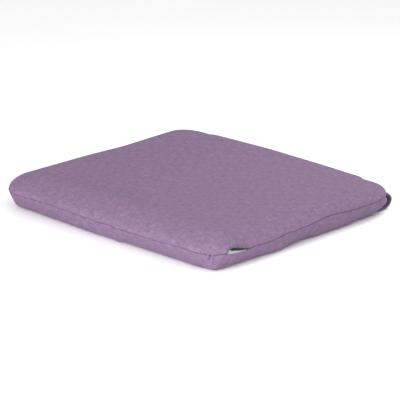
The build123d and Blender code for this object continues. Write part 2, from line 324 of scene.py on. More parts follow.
# One panel as rings of points from the seam to its middle, the middle point, and the same laid flat. The
# flat pattern is the seam line moved in by the run, less the length of wall that is still to go.
def panelSurface(top, inset=0.0, skin=True, rings=ringsWall, flats=ringsFlat, count=around, pocket=0.0):
    u = (columnPlaces(count) if skin else np.arange(count) / count)[None, :]
    v = np.linspace(0, 1, rings)[:, None] ** (1.7 if top else 1.2)      # rings gather towards the seam
    u, v = np.broadcast_arrays(u, v)
    p, n = outline(0.0, u)
    hollow = smooth(zipSlot["half"] + zipSlot["pocketPast"] - np.abs(p[..., 0]), 0, zipSlot["pocketFade"])
    deeper = inset + pocket * hollow * smooth(n[..., 1], *zipSlot["facing"]) * (1 - smooth(v, 0.5, 0.8))
    wall = (topWall if top else bottomWall)(u, v, deeper, skin)
    steps = np.linalg.norm(np.diff(wall, axis=0), axis=2)
    gone = np.concatenate([np.zeros((1, count)), np.cumsum(steps, 0)])
    edge, _ = outline(0.0, u[-1:])
    reach = np.linalg.norm(wall[-1:, :, :2] - edge, axis=2)
    cut, _ = outline(reach - (gone[-1:] - gone), u)
    level = padForm["height"] - inset if top else inset

    # Heights inside the wall: level below, and on top a shallow dish, a bell-shaped valley and the drift.
    def flatZ(x, y, start, t):
        f = padForm
        if not top:
            return start + (level - start) * smooth(t, 0, 0.04)
        dish = f["dish"] * (1 - (x / f["halfWidth"]) ** 2) * (1 - (y / f["halfDepth"]) ** 2)
        valley = f["valley"] * np.exp(-((y / mm - f["valleyY"]) / f["valleyHalf"]) ** 2)
        dish = dish + valley * smooth(x / mm, f["valleyEnd"], f["valleyFull"])
        drift = sum(size * waveNoise(x, y, wavelength, seed) for size, wavelength, seed in f["drift"])
        rise = f["rimRise"] - dish + drift * smooth(t, 0, 0.3)
        return level - f["rimGap"] + rise * smooth(t, 0, 0.22) + sagged(x, y)

    flat = closeIn(wall[-1], flatZ, flats)
    grid = np.concatenate([wall, flat])
    if not top:
        lift = dentLift(grid[..., 0], grid[..., 1])
        grid[..., 2] = np.maximum(grid[..., 2], lift + inset * (lift > 0))
    centre = np.array([[0, 0, flatZ(np.zeros(1), np.zeros(1), flat[-1, :1, 2], np.ones(1))[0]]])
    return grid, centre, np.concatenate([cut, flat[..., :2]])


# Quads between rows of points, as numbers of points. Closed columns join the last to the first.
def gridQuads(rows, columns, closed, start=0):
    i, j = np.meshgrid(np.arange(rows - 1), np.arange(columns if closed else columns - 1), indexing="ij")
    k = (j + 1) % columns
    quads = np.stack([i * columns + j, i * columns + k, (i + 1) * columns + k, (i + 1) * columns + j], -1)
    return quads.reshape(-1, 4) + start


# Faces of a tube with flat ends: quads between its rings, and the first and last ring as one face each.
def tubeFaces(rings, columns, start=0):
    ends = np.array([np.arange(columns)[::-1], np.arange(columns) + (rings - 1) * columns])
    return [gridQuads(rings, columns, True, start), ends + start]


# Volume inside a closed set of faces: point . (point x point), summed over fans of triangles, over six.
def signedVolume(points, faces):
    total = 0.0
    for part in faces:
        corner = points[part]
        for k in range(1, part.shape[1] - 1):
            total += float(np.sum(corner[:, 0] * np.cross(corner[:, k], corner[:, k + 1]))) / 6
    return total


# A mesh object from points and faces, smooth, with an optional map from the flat cut. It is turned to face
# away from the point "about", or from its own inside when it is closed.
def makeMesh(name, points, faces, material, cut=None, closed=True, about=(0, 0, 0)):
    points = np.asarray(points, float)
    about = points.mean(0) if closed else np.array(about)
    if signedVolume(points - about, faces) < 0:
        faces = [f[:, ::-1] for f in faces]
    mesh = bpy.data.meshes.new(name)
    mesh.from_pydata(points.tolist(), [], [f for part in faces for f in part.tolist()])
    if cut is not None:
        loops = np.zeros(len(mesh.loops), np.int32)
        mesh.loops.foreach_get("vertex_index", loops)
        layer = mesh.uv_layers.new(name="cut")
        layer.data.foreach_set("uv", np.asarray(cut)[loops].ravel().astype(np.float32))
    mesh.polygons.foreach_set("use_smooth", np.ones(len(mesh.polygons), bool))
    mesh.materials.append(material)
    mesh.update()
    obj = bpy.data.objects.new(name, mesh)
    scene.collection.objects.link(obj)
    return obj


# Gives a single surface its thickness, inwards with offset -1 and to both sides with 0.
def thicken(piece, name, thickness, offset):
    solidify = piece.modifiers.new(name, "SOLIDIFY")
    solidify.thickness, solidify.offset = thickness, offset


# One cloth panel: quads between its rings and a fan of triangles at the middle. The cut goes to its map.
def panelMesh(name, surface, material):
    grid, centre, cut = surface
    rings, count = grid.shape[:2]
    points = np.vstack([grid.reshape(-1, 3), centre])
    last, j = (rings - 1) * count, np.arange(count)
    fan = np.stack([last + j, last + (j + 1) % count, np.full(count, rings * count)], -1)
    faces = [gridQuads(rings, count, True), fan]
    cut = np.vstack([cut.reshape(-1, 2), [[0, 0]]])
    return makeMesh(name, points, faces, material, cut, closed=False, about=(0, 0, padForm["seam"]))


# A closed layer: the top's rings run down from its middle to the seam, and the bottom's from there to its
# middle, with a fan of triangles at both ends.
def closedPoints(top, bottom):
    grid = np.concatenate([top[0][::-1], bottom[0]])
    rings, count = grid.shape[:2]
    points = np.vstack([grid.reshape(-1, 3), top[1], bottom[1]])
    j = np.arange(count)
    k, last = (j + 1) % count, (rings - 1) * count
    fans = [np.stack([k, j, np.full(count, rings * count)], -1),
            np.stack([last + j, last + k, np.full(count, rings * count + 1)], -1)]
    return points, [gridQuads(rings, count, True)[:, ::-1]] + fans


# A profile carried along a path: point = centre + a * side + b * normal for every point (a, b) of the
# profile, as one array, with flat ends. The map holds (along, around) from 0 to 1.
def carryProfile(name, centre, side, normal, profile, material):
    a, b = profile[..., 0, None], profile[..., 1, None]
    points = centre[:, None] + a * side[:, None] + b * normal[:, None]
    rows, columns = points.shape[:2]
    t = np.stack(np.meshgrid(np.linspace(0, 1, rows), np.linspace(0, 1, columns), indexing="ij"), -1)
    return makeMesh(name, points.reshape(-1, 3), tubeFaces(rows, columns), material, t.reshape(-1, 2))


# Evenly spaced points on a run of straight lines, then smoothed by averaging neighbours, soft times.
def spaced(line, count, soft=0):
    line = np.asarray(line, float)
    gone = np.concatenate([[0], np.cumsum(np.linalg.norm(np.diff(line, axis=0), axis=1))])
    out = np.stack([np.interp(np.linspace(0, gone[-1], count), gone, c) for c in line.T], -1)
    for _ in range(soft):
        out[1:-1] = (out[:-2] + 2 * out[1:-1] + out[2:]) / 4
    return out


# Unit direction along a path, from the points either side.
def heading(path):
    d = np.gradient(path, axis=0)
    return d / np.linalg.norm(d, axis=1)[:, None]


# Sewing thread: a six-sided section whose path rises over the cloth and dips into it by a squared cosine
# wave, once for every stitch.
def threadRun(name, path, normal, pitch, radius, dip, material):
    length = np.concatenate([[0], np.cumsum(np.linalg.norm(np.diff(path, axis=0), axis=1))])
    wave = np.cos(2 * math.pi * length / pitch)
    lift = dip * (0.45 - 0.55 * (1 - wave) ** 2 / 2)
    centre = path + normal * lift[:, None]
    side = np.cross(normal, heading(path))
    turn = np.arange(6) / 6 * 2 * math.pi
    profile = np.broadcast_to(np.stack([np.cos(turn), np.sin(turn)], -1) * radius, (len(path), 6, 2))
    return carryProfile(name, centre, side, normal, profile, material)


# colours and materials
# An sRGB hex value as linear colour: c/12.92 near black, ((c + 0.055)/1.055)^2.4 above it.
def srgb(hexCode):
    c = np.array([int(hexCode[i:i + 2], 16) / 255 for i in (0, 2, 4)])
    linear = np.where(c <= 0.04045, c / 12.92, ((c + 0.055) / 1.055) ** 2.4)
    return (*linear.tolist(), 1.0)


# Adds a node, sets its properties, and sets or links its inputs by name or number.
def addNode(tree, kind, inputs=None, **settings):
    node = tree.nodes.new(kind)
    for key, value in settings.items():
        setattr(node, key, value)
    for key, value in (inputs or {}).items():
        if isinstance(value, bpy.types.NodeSocket):
            tree.links.new(value, node.inputs[key])
        else:
            node.inputs[key].default_value = value
    return node


# A material with its Principled shader set up, ready for the nodes that feed it.
def newMaterial(name, roughness, ior=1.5, sheen=0.0, sheenTint=None, sheenRough=0.5):
    material = bpy.data.materials.new(name)
    material.use_nodes = True
    shader = material.node_tree.nodes["Principled BSDF"]
    shader.inputs["Roughness"].default_value = roughness
    shader.inputs["IOR"].default_value = ior
    shader.inputs["Sheen Weight"].default_value = sheen
    shader.inputs["Sheen Roughness"].default_value = sheenRough
    if sheenTint:
        shader.inputs["Sheen Tint"].default_value = srgb(sheenTint)
    return material, material.node_tree, shader


# Plain-weave cloth: warp and weft yarns of uneven thickness, dyed in slightly different shades.
# The real yarn is about 0.5 mm; it is drawn at twice that so that the weave shows.
def clothMaterial(name, dark, middle, light, source, yarn=1.0 * mm, slub=7 * mm, sheen=0.08):
    material, tree, shader = newMaterial(name, 0.92, 1.48, sheen, light, 0.45)
    coords = addNode(tree, "ShaderNodeTexCoord")
    place = coords.outputs[source]
    # long streaks along the warp (X) and along the weft (Y): one uneven yarn each
    streaks = []
    for scale in ((1 / slub, 1 / yarn, 1 / yarn), (1 / yarn, 1 / slub, 1 / yarn)):
        stretched = addNode(tree, "ShaderNodeMapping", {"Vector": place, "Scale": scale})
        streaks.append(addNode(tree, "ShaderNodeTexNoise", {"Vector": stretched.outputs[0], "Scale": 0.5,
                                                            "Detail": 1.0, "Roughness": 0.5}))
    warpWeft = addNode(tree, "ShaderNodeMath", {0: streaks[0].outputs[0], 1: streaks[1].outputs[0]},
                       operation="ADD")
    # faint clouds of shade, 5 mm across, as the dye takes unevenly
    mottle = addNode(tree, "ShaderNodeTexNoise", {"Vector": coords.outputs["Object"], "Scale": 1 / (5 * mm),
                                                  "Detail": 3.0, "Roughness": 0.6})
    both = addNode(tree, "ShaderNodeMath", {0: warpWeft.outputs[0], 1: mottle.outputs[0]}, operation="ADD")
    third = addNode(tree, "ShaderNodeMath", {0: both.outputs[0], 1: 1 / 3}, operation="MULTIPLY")
    ramp = addNode(tree, "ShaderNodeValToRGB", {"Fac": third.outputs[0]})
    ramp.color_ramp.elements[0].position, ramp.color_ramp.elements[0].color = 0.40, srgb(dark)
    ramp.color_ramp.elements[1].position, ramp.color_ramp.elements[1].color = 0.60, srgb(light)
    ramp.color_ramp.elements.new(0.5).color = srgb(middle)
    tree.links.new(ramp.outputs["Color"], shader.inputs["Base Color"])
    # over-and-under of the weave: the product of two sines, one along each yarn
    split = addNode(tree, "ShaderNodeSeparateXYZ", {0: place})
    waves = []
    for axis in ("X", "Y"):
        turned = addNode(tree, "ShaderNodeMath", {0: split.outputs[axis], 1: math.pi / yarn},
                         operation="MULTIPLY")
        waves.append(addNode(tree, "ShaderNodeMath", {0: turned.outputs[0]}, operation="SINE"))
    weave = addNode(tree, "ShaderNodeMath", {0: waves[0].outputs[0], 1: waves[1].outputs[0]},
                    operation="MULTIPLY")
    relief = addNode(tree, "ShaderNodeMath", {0: weave.outputs[0], 1: 0.3, 2: warpWeft.outputs[0]},
                     operation="MULTIPLY_ADD")
    bump = addNode(tree, "ShaderNodeBump", {"Height": relief.outputs[0], "Strength": 0.3,
                                            "Distance": 0.3 * mm})
    tree.links.new(bump.outputs[0], shader.inputs["Normal"])
    return material


# A soft open mass, such as foam or wadding: fine cells or fibres from noise at the real size.
def fleeceMaterial(name, dark, light, size, height):
    material, tree, shader = newMaterial(name, 0.95, 1.45, 0.2, light)
    coords = addNode(tree, "ShaderNodeTexCoord")
    cells = addNode(tree, "ShaderNodeTexNoise", {"Vector": coords.outputs["Object"], "Scale": 1 / size,
                                                 "Detail": 4.0, "Roughness": 0.65})
    ramp = addNode(tree, "ShaderNodeValToRGB", {"Fac": cells.outputs[0]})
    ramp.color_ramp.elements[0].position, ramp.color_ramp.elements[0].color = 0.35, srgb(dark)
    ramp.color_ramp.elements[1].position, ramp.color_ramp.elements[1].color = 0.65, srgb(light)
    tree.links.new(ramp.outputs["Color"], shader.inputs["Base Color"])
    bump = addNode(tree, "ShaderNodeBump", {"Height": cells.outputs[0], "Strength": height,
                                            "Distance": size})
    tree.links.new(bump.outputs[0], shader.inputs["Normal"])
    return material


# Woven satin ribbon: black, with a silver-grey band along the seam half. Fine cross ribs catch the light.
def labelMaterial():
    material, tree, shader = newMaterial("wovenSatinLabel", 0.68, 1.4)
    coords = addNode(tree, "ShaderNodeTexCoord")
    split = addNode(tree, "ShaderNodeSeparateXYZ", {0: coords.outputs["UV"]})
    # V is 0 at the seam and 1 at the folded edge: the band lies between these two
    bandStart, bandEnd = 0.1, 0.55
    ribCount = 90                                       # coarser than the real one, so that they show
    band = addNode(tree, "ShaderNodeValToRGB", {"Fac": split.outputs["Y"]})
    band.color_ramp.interpolation = "CONSTANT"
    stops = band.color_ramp.elements
    stops[0].position, stops[0].color = 0.0, srgb("101012")
    stops[1].position, stops[1].color = bandStart, srgb("8E9698")
    stops.new(bandEnd).color = srgb("08080A")
    tree.links.new(band.outputs["Color"], shader.inputs["Base Color"])
    rib = addNode(tree, "ShaderNodeMath", {0: split.outputs["X"], 1: 2 * math.pi * ribCount},
                  operation="MULTIPLY")
    wave = addNode(tree, "ShaderNodeMath", {0: rib.outputs[0]}, operation="SINE")
    bump = addNode(tree, "ShaderNodeBump", {"Height": wave.outputs[0], "Strength": 0.4,
                                            "Distance": 0.1 * mm})
    tree.links.new(bump.outputs[0], shader.inputs["Normal"])
    return material


# Moulded plastic or painted die-casting: one colour, broken up by faint grain in tone and surface.
def hardMaterial(name, hexCode, roughness):
    grain = 0.4 * mm
    material, tree, shader = newMaterial(name, roughness)
    coords = addNode(tree, "ShaderNodeTexCoord")
    speck = addNode(tree, "ShaderNodeTexNoise", {"Vector": coords.outputs["Object"], "Scale": 1 / grain,
                                                 "Detail": 2.0})
    tone = addNode(tree, "ShaderNodeMapRange", {0: speck.outputs[0], 3: 0.85, 4: 1.15})
    colour = addNode(tree, "ShaderNodeHueSaturation", {"Value": tone.outputs[0], "Color": srgb(hexCode)})
    tree.links.new(colour.outputs[0], shader.inputs["Base Color"])
    bump = addNode(tree, "ShaderNodeBump", {"Height": speck.outputs[0], "Strength": 0.15,
                                            "Distance": 0.05 * mm})
    tree.links.new(bump.outputs[0], shader.inputs["Normal"])
    return material


coverCloth = clothMaterial("plainWeaveCoverCloth", "66506C", "705A75", "7B6480", "UV")
strapCloth = clothMaterial("plainWeaveStrapCloth", "634E69", "6D5772", "78617D", "UV")
zipTapeCloth = clothMaterial("wovenZipTape", "352839", "403047", "4B3A52", "Object", 0.8 * mm, 8 * mm)
threadPolyester = clothMaterial("polyesterSewingThread", "40313F", "493A4F", "57465C", "Object", 0.5 * mm)
careSatin = clothMaterial("careLabelSatin", "CFCFCB", "DCDCD8", "E8E8E4", "Object", 0.4 * mm, sheen=0.2)
hookNylon = fleeceMaterial("nylonHookTape", "8C7E69", "B5A68E", 0.8 * mm, 0.8)
loopNylon = fleeceMaterial("nylonLoopTape", "77727B", "A19CA6", 1.0 * mm, 0.8)
foamCells = fleeceMaterial("openCellFoam", "CDBF95", "E6DBB8", 1.2 * mm, 0.5)
waddingFibre = fleeceMaterial("polyesterWadding", "D6D6D2", "F1F1EE", 3.0 * mm, 0.7)
zipAcetal = hardMaterial("mouldedAcetalTeeth", "3F3145", 0.35)
zipPaint = hardMaterial("paintedZincSlider", "4B3B52", 0.3)
labelSatin = labelMaterial()
print("materials ready")

# cloth simulation of the cover
# A coarse closed copy of the cover is held along its seam and gently over the flat faces, its cloth is
# cut a little large, and air pressure fills it. How far each point moved is carried to the fine panels.
fill = {"rings": 16, "flats": 9, "around": 200, "pressure": 4.0, "slack": 0.012, "frames": 20,
        "bending": 1.5, "stretching": 30, "quality": 6,
        "keepFlat": 0.93, "keepWall": 0.25,             # how firmly the flat faces and the walls are held
        "cap": 3.0 * mm, "smoothings": 5, "easeIn": 0.12}


# Moves of the coarse copy's points after the fill: each one's length is capped as cap * tanh(length / cap),
# and neighbours are averaged. It gives the top's grid and the bottom's, from the seam inwards.
def simulatedPush():
    size = {"rings": fill["rings"], "flats": fill["flats"], "count": fill["around"], "skin": False}
    top, bottom = panelSurface(True, **size), panelSurface(False, **size)
    rows, count = top[0].shape[:2]
    points, faces = closedPoints(top, bottom)
    air = makeMesh("coverAir", points, faces, coverCloth)
    hold = np.zeros((2 * rows, count))
    marks = [0, 1, fill["rings"] - 3, fill["rings"] + 2]      # rings from the seam inwards
    keeps = [1, fill["keepWall"], fill["keepWall"], fill["keepFlat"]]
    hold[:rows] = np.interp(np.arange(rows)[::-1], marks, keeps)[:, None]
    hold[rows:] = hold[:rows][::-1]
    hold[rows - 1:rows + 1] = 1
    group = air.vertex_groups.new(name="hold")
    for weight in np.unique(hold.round(2)):
        group.add(np.flatnonzero(hold.round(2).ravel() == weight).tolist(), float(weight), "REPLACE")
    group.add([2 * rows * count, 2 * rows * count + 1], fill["keepFlat"], "REPLACE")
    cloth = air.modifiers.new("air", "CLOTH")
    s = cloth.settings
    s.use_pressure, s.uniform_pressure_force = True, fill["pressure"]
    s.effector_weights.gravity = 0
    s.vertex_group_mass, s.pin_stiffness = "hold", 1.0
    s.shrink_min = -fill["slack"]
    s.bending_stiffness = fill["bending"]
    s.tension_stiffness = s.compression_stiffness = fill["stretching"]
    s.quality = fill["quality"]
    for number in range(1, fill["frames"] + 1):
        scene.frame_set(number)
    posed = air.evaluated_get(bpy.context.evaluated_depsgraph_get())
    moved = np.zeros(len(points) * 3)
    posed.data.vertices.foreach_get("co", moved)
    push = (moved.reshape(-1, 3) - points)[:-2].reshape(2 * rows, count, 3)
    scene.frame_set(1)
    bpy.data.objects.remove(air, do_unlink=True)
    far = np.linalg.norm(push, axis=2, keepdims=True)
    push *= fill["cap"] * np.tanh(far / fill["cap"]) / np.maximum(far, 1e-9)
    for _ in range(fill["smoothings"]):
        push = (np.roll(push, 1, 1) + 2 * push + np.roll(push, -1, 1)) / 4
        push[1:-1] = (push[:-2] + 2 * push[1:-1] + push[2:]) / 4
    print("cover filled, largest move in mm", round(float(far.max()) / mm, 1))
    return push[:rows][::-1], push[rows:]


# Where rings stand: from the seam, 0, past the end of the wall, 1, to the last ring before the middle, 2.
def ringPlaces(rings, flats):
    return np.concatenate([np.linspace(0, 1, rings), 1 + np.arange(1, flats) / flats])


# A coarse grid of moves read off at another grid's rings and columns: a weighted mean of its four nearest.
def carryPush(push, rings, flats, places):
    if np.ndim(push) == 0:
        return 0
    rows, columns = push.shape[:2]
    given, wanted = ringPlaces(fill["rings"], fill["flats"]), ringPlaces(rings, flats)
    down = np.stack([np.interp(wanted, given, e) for e in np.eye(rows)], -1)
    across = np.stack([np.interp(places, np.arange(columns + 1) / columns, np.append(e, e[0]))
                       for e in np.eye(columns)], -1)
    out = np.einsum("ri,uj,ijc->ruc", down, across, push)
    return out * smooth(wanted, 0, fill["easeIn"])[:, None, None]


# cover panels
pushes = simulatedPush()
panels = {"coverTop": (True, "cover_top_panel"), "coverBottom": (False, "cover_bottom_panel")}
for (name, (top, node)), push in zip(panels.items(), pushes):
    grid, centre, cut = panelSurface(top)
    grid = grid + carryPush(push, ringsWall, ringsFlat, columnPlaces(around))
    grid[..., 2] = np.maximum(grid[..., 2], 0)
    panel = panelMesh(name, (grid, centre, cut), coverCloth)
    thicken(panel, "clothThickness", padForm["cloth"], -1)
    flatSize = cut[0].max(0) - cut[0].min(0)
    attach(panel, "pad")
    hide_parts(node)
    print(name, "cut to mm", (flatSize / mm).round(0).tolist())

# foam and wadding
layers = {"waddingGap": 1.9 * mm, "foamGap": 7.3 * mm, "waddingThick": 5.0 * mm, "pocket": 3.6 * mm,
          "firstRing": 4}
coarse = {"skin": False, "rings": 26, "flats": 14, "count": 240}
evenly = np.arange(coarse["count"]) / coarse["count"]


# A layer under the cover, moved as the cloth over it moved.
def layerSurface(top, gap, pocket):
    grid, centre, cut = panelSurface(top, gap, pocket=pocket, **coarse)
    return grid + carryPush(pushes[0 if top else 1], coarse["rings"], coarse["flats"], evenly), centre, cut


foamPoints, foamFaces = closedPoints(*[layerSurface(t, layers["foamGap"], 0.0) for t in (True, False)])
foamCore = makeMesh("foamCore", foamPoints, foamFaces, foamCells)
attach(foamCore, "pad")
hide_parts("foam_core")
for name, top, node in (("waddingTop", True, "wadding_top"), ("waddingBottom", False, "wadding_bottom")):
    grid, centre, cut = layerSurface(top, layers["waddingGap"], layers["pocket"])
    first = layers["firstRing"]                     # the two waddings part at the seam
    wadding = panelMesh(name, (grid[first:], centre, cut[first:]), waddingFibre)
    thicken(wadding, "waddingThickness", layers["waddingThick"], -1)
    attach(wadding, "pad")
    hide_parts(node)
print("foam and wadding ready")

# seam thread, from one end of the zip's slot round the front to the other
stitch = {"pitch": 3.2 * mm, "radius": 0.32 * mm, "dip": 0.5 * mm, "inset": 1.5 * mm, "perStitch": 8,
          "pastSlot": 4 * mm}
slotEnds = [nearestPart(s * (zipSlot["half"] + stitch["pastSlot"]), padForm["halfDepth"]) for s in (1, -1)]
count = int((1 - slotEnds[1] + slotEnds[0]) * seamLength / stitch["pitch"] * stitch["perStitch"])
u = np.linspace(slotEnds[1], 1 + slotEnds[0], count)
p, n = outline(stitch["inset"] - along(u, grooveLess), u)
level = seamZ(u)
seamThread = threadRun("seamThread", np.column_stack([p, level]), np.column_stack([n, np.zeros(count)]),
                       stitch["pitch"], stitch["radius"], stitch["dip"], threadPolyester)
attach(seamThread, "pad")
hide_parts("seam_thread")

# zip tapes, lying inside the cover's edge, and the two rows of stitches that hold them
tape = {"inside": 1.45 * mm, "thick": 0.6 * mm, "columns": 160, "rows": 16,
        "endIn": 1.2 * mm, "endRun": 16 * mm,           # its ends turn in by this much, over this length
        "stitchUp": 2.6 * mm, "stitchEnd": 4 * mm, "stitchRadius": 0.8, "stitchSteps": 900,
        "straight": 150 * mm, "wallSteps": 240}         # the seam line is straight this far out


# Where the rear cloth is at places x and heights z: read off the panel's own wall, one column at a time.
def rearY(x, z, top):
    ends = np.array([-1, 1]) * tape["straight"]
    places = np.interp(x, ends, [nearestPart(e, padForm["halfDepth"]) for e in ends])
    v = np.linspace(0, 1, tape["wallSteps"])[:, None]
    wall = (topWall if top else bottomWall)(*np.broadcast_arrays(places[None], v), 0.0, True)
    order = slice(None) if top else slice(None, None, -1)
    return np.array([np.interp(z[:, i], wall[order, i, 2], wall[order, i, 1]) for i in range(len(x))]).T


tapes = {"zipTapeUpper": ("zip_tape_upper", True), "zipTapeLower": ("zip_tape_lower", False)}
for name, (node, top) in tapes.items():
    low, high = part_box(node)
    startZ, endZ = (low.z, high.z) if top else (high.z, low.z)      # from the seam outwards
    heights = np.linspace(startZ, endZ, tape["rows"])
    x, z = np.meshgrid(np.linspace(low.x, high.x, tape["columns"]), heights)
    y = rearY(x[0], z, top)
    # set in square to the leaning cloth, which takes more along Y where it leans
    deep = tape["inside"] + tape["endIn"] * smooth(np.abs(x), high.x - tape["endRun"], high.x)
    y = y - deep * np.hypot(1, np.gradient(y, axis=0) / np.gradient(z, axis=0))
    faces = gridQuads(tape["rows"], tape["columns"], False)
    zipTape = makeMesh(name, np.stack([x, y, z], -1).reshape(-1, 3), [faces], zipTapeCloth, closed=False)
    thicken(zipTape, "tapeThickness", tape["thick"], 0)
    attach(zipTape, "pad")
    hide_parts(node)
    # a row of topstitches through cover and tape, along the slot's edge
    edgeZ = padForm["seam"] + (1 if top else -1) * (zipSlot["open"] + tape["stitchUp"])
    runEnd = zipSlot["half"] - tape["stitchEnd"]
    run = np.linspace(-runEnd, runEnd, tape["stitchSteps"])
    # the cloth's slope there, from half a millimetre below and above
    near = rearY(run, np.broadcast_to(edgeZ + np.array([-0.5, 0, 0.5])[:, None] * mm, (3, len(run))), top)
    slope = (near[2] - near[0]) / mm
    out = np.stack([np.zeros_like(run), np.ones_like(run), -slope], -1) / np.hypot(1, slope)[:, None]
    path = np.stack([run, near[1], np.full_like(run, edgeZ)], -1)
    topStitch = threadRun(name + "Stitching", path, out, stitch["pitch"],
                          stitch["radius"] * tape["stitchRadius"], stitch["dip"], threadPolyester)
    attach(topStitch, "pad")
print("seam and zip sewn")

# fastening straps
# Webbing that hangs from the rear seam, bows out and folds in under the pad to its hook tape.
strapForm = {"thick": 2.0 * mm, "length": 80 * mm, "rows": 90, "across": 15, "smoothings": 24,
             # centre line from the seam to the strap's end, as Y and Z in mm
             "line": [(198.5, 27.0), (203.6, 25.6), (206.6, 21.6), (207.6, 16.0), (207.3, 11.5),
                      (205.2, 7.0), (200.0, 3.3), (192, 1.7), (183, 1.32), (174, 1.3), (165.4, 1.3)],
             "rootPart": (0.02, 0.26),                  # where it stops following the corner
             "edge": 0.7 * mm, "edgeThin": 0.75,        # the section thins towards its edges
             "hem": 0.35 * mm, "hemWide": 5 * mm, "hemStep": (-0.8 * mm, 0.4 * mm),
             "hemPart": (0.72, 0.8),                    # the hems end where the hook tape begins
             "stitchIn": 3.0 * mm, "stitchPitch": 2.8 * mm, "stitchRadius": 0.75, "stitchSteps": 260,
             "lanes": 20}                               # lines a stitch row can lie on, each side


# The strap's centre line at every place across its width: the line in Y and Z, moved along Y so that its
# root follows the arc of the pad's corner in plan, less and less towards the strap's end.
def strapSurface(mirror, across):
    line = spaced(np.array(strapForm["line"]) * mm, strapForm["rows"], strapForm["smoothings"])
    reach = np.linalg.norm(np.diff(line, axis=0), axis=1).cumsum()
    part = np.concatenate([[0], reach]) / reach[-1]
    x = strapMiddle + across
    radius = padForm["rearRadius"] if mirror > 0 else padForm["rearLeftRadius"]
    past = np.clip(x - (padForm["halfWidth"] - padForm["rearTaper"] - radius), 0, None)
    edge = padForm["halfDepth"] - radius + np.sqrt(radius ** 2 - past ** 2)
    follow = 1 - smooth(part, *strapForm["rootPart"])
    shift = (edge - np.interp(strapMiddle, x, edge))[None, :] * follow[:, None]
    y = line[:, 0][:, None] + shift
    z = np.broadcast_to(line[:, 1][:, None], y.shape)
    return np.stack([np.broadcast_to(mirror * x, y.shape), y, z], -1), part


for side, mirror in (("right", 1), ("left", -1)):
    # one round of the section: along the outer face, round the edge and back along the inner face
    ring = np.linspace(-1, 1, strapForm["across"] * 2 + 1)
    a = np.concatenate([ring, ring[::-1]]) * strapHalf
    face = np.concatenate([np.ones(len(ring)), -np.ones(len(ring))])
    hem = smooth(np.abs(a), *[strapHalf - strapForm["hemWide"] + step for step in strapForm["hemStep"]])
    edge = 1 - smooth(np.abs(a), strapHalf - strapForm["edge"], strapHalf) * strapForm["edgeThin"]
    centre, part = strapSurface(mirror, np.clip(a, -strapHalf, strapHalf))
    out = np.cross(np.gradient(centre, axis=0), [mirror, 0, 0]) * mirror
    out = -out / np.linalg.norm(out, axis=2, keepdims=True)
    free = 1 - smooth(part, *strapForm["hemPart"])
    thick = strapForm["thick"] / 2 + strapForm["hem"] * hem[None, :] * free[:, None]
    points = centre + out * (face * edge)[None, :, None] * thick[..., None]
    rows, columns = points.shape[:2]
    cut = np.stack(np.broadcast_arrays(part[:, None] * strapForm["length"], a[None]), -1)
    strap = makeMesh("fasteningStrap" + side.title(), points.reshape(-1, 3), tubeFaces(rows, columns),
                     strapCloth, cut.reshape(-1, 2))
    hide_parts("strap_" + side)
    middleX = mirror * (strapBox[0].x + strapHalf)
    hinge = {"start": (middleX, 0.2030, 0.0275), "end": (middleX, 0.2055, 0.0205)}
    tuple(hinge["start"])
    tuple(hinge["end"])
    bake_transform(strap)
    # two rows of stitches along the hems, on the outside
    lanes = strapForm["lanes"]
    lane = strapSurface(mirror, np.linspace(-strapHalf, strapHalf, 2 * lanes + 1))[0]
    for place, where in ((-1, "Inner"), (1, "Outer")):
        column = lanes + place * int(round((strapHalf - strapForm["stitchIn"]) / strapHalf * lanes))
        path = spaced(lane[:, column], strapForm["stitchSteps"])
        heads = heading(path)
        normal = np.cross(heads, [1, 0, 0])
        normal *= -1 / np.linalg.norm(normal, axis=1)[:, None]
        path = path + normal * (strapForm["thick"] / 2 + strapForm["hem"] * 0.8)
        hemThread = threadRun(f"hemStitching{side.title()}{where}", path, normal, strapForm["stitchPitch"],
                              stitch["radius"] * strapForm["stitchRadius"], stitch["dip"], threadPolyester)
        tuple(hinge["start"])
        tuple(hinge["end"])
        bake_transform(hemThread)
print("straps ready")

# hook and loop tapes
# Bent hooks on one tape and small arches on the other, each a thin three-sided prong in an uneven grid.
pile = {"pitch": 1.25 * mm, "thin": 0.11 * mm, "base": 0.4 * mm, "margin": 0.7 * mm, "steps": 7,
        "jitter": 0.25,                                 # of a pitch
        "archWide": 1.1, "hookReach": 0.45,             # in pitches
        "hookRound": 1.25,                              # quarter turns a hook bends through
        "cornerCut": 0.8 * mm}


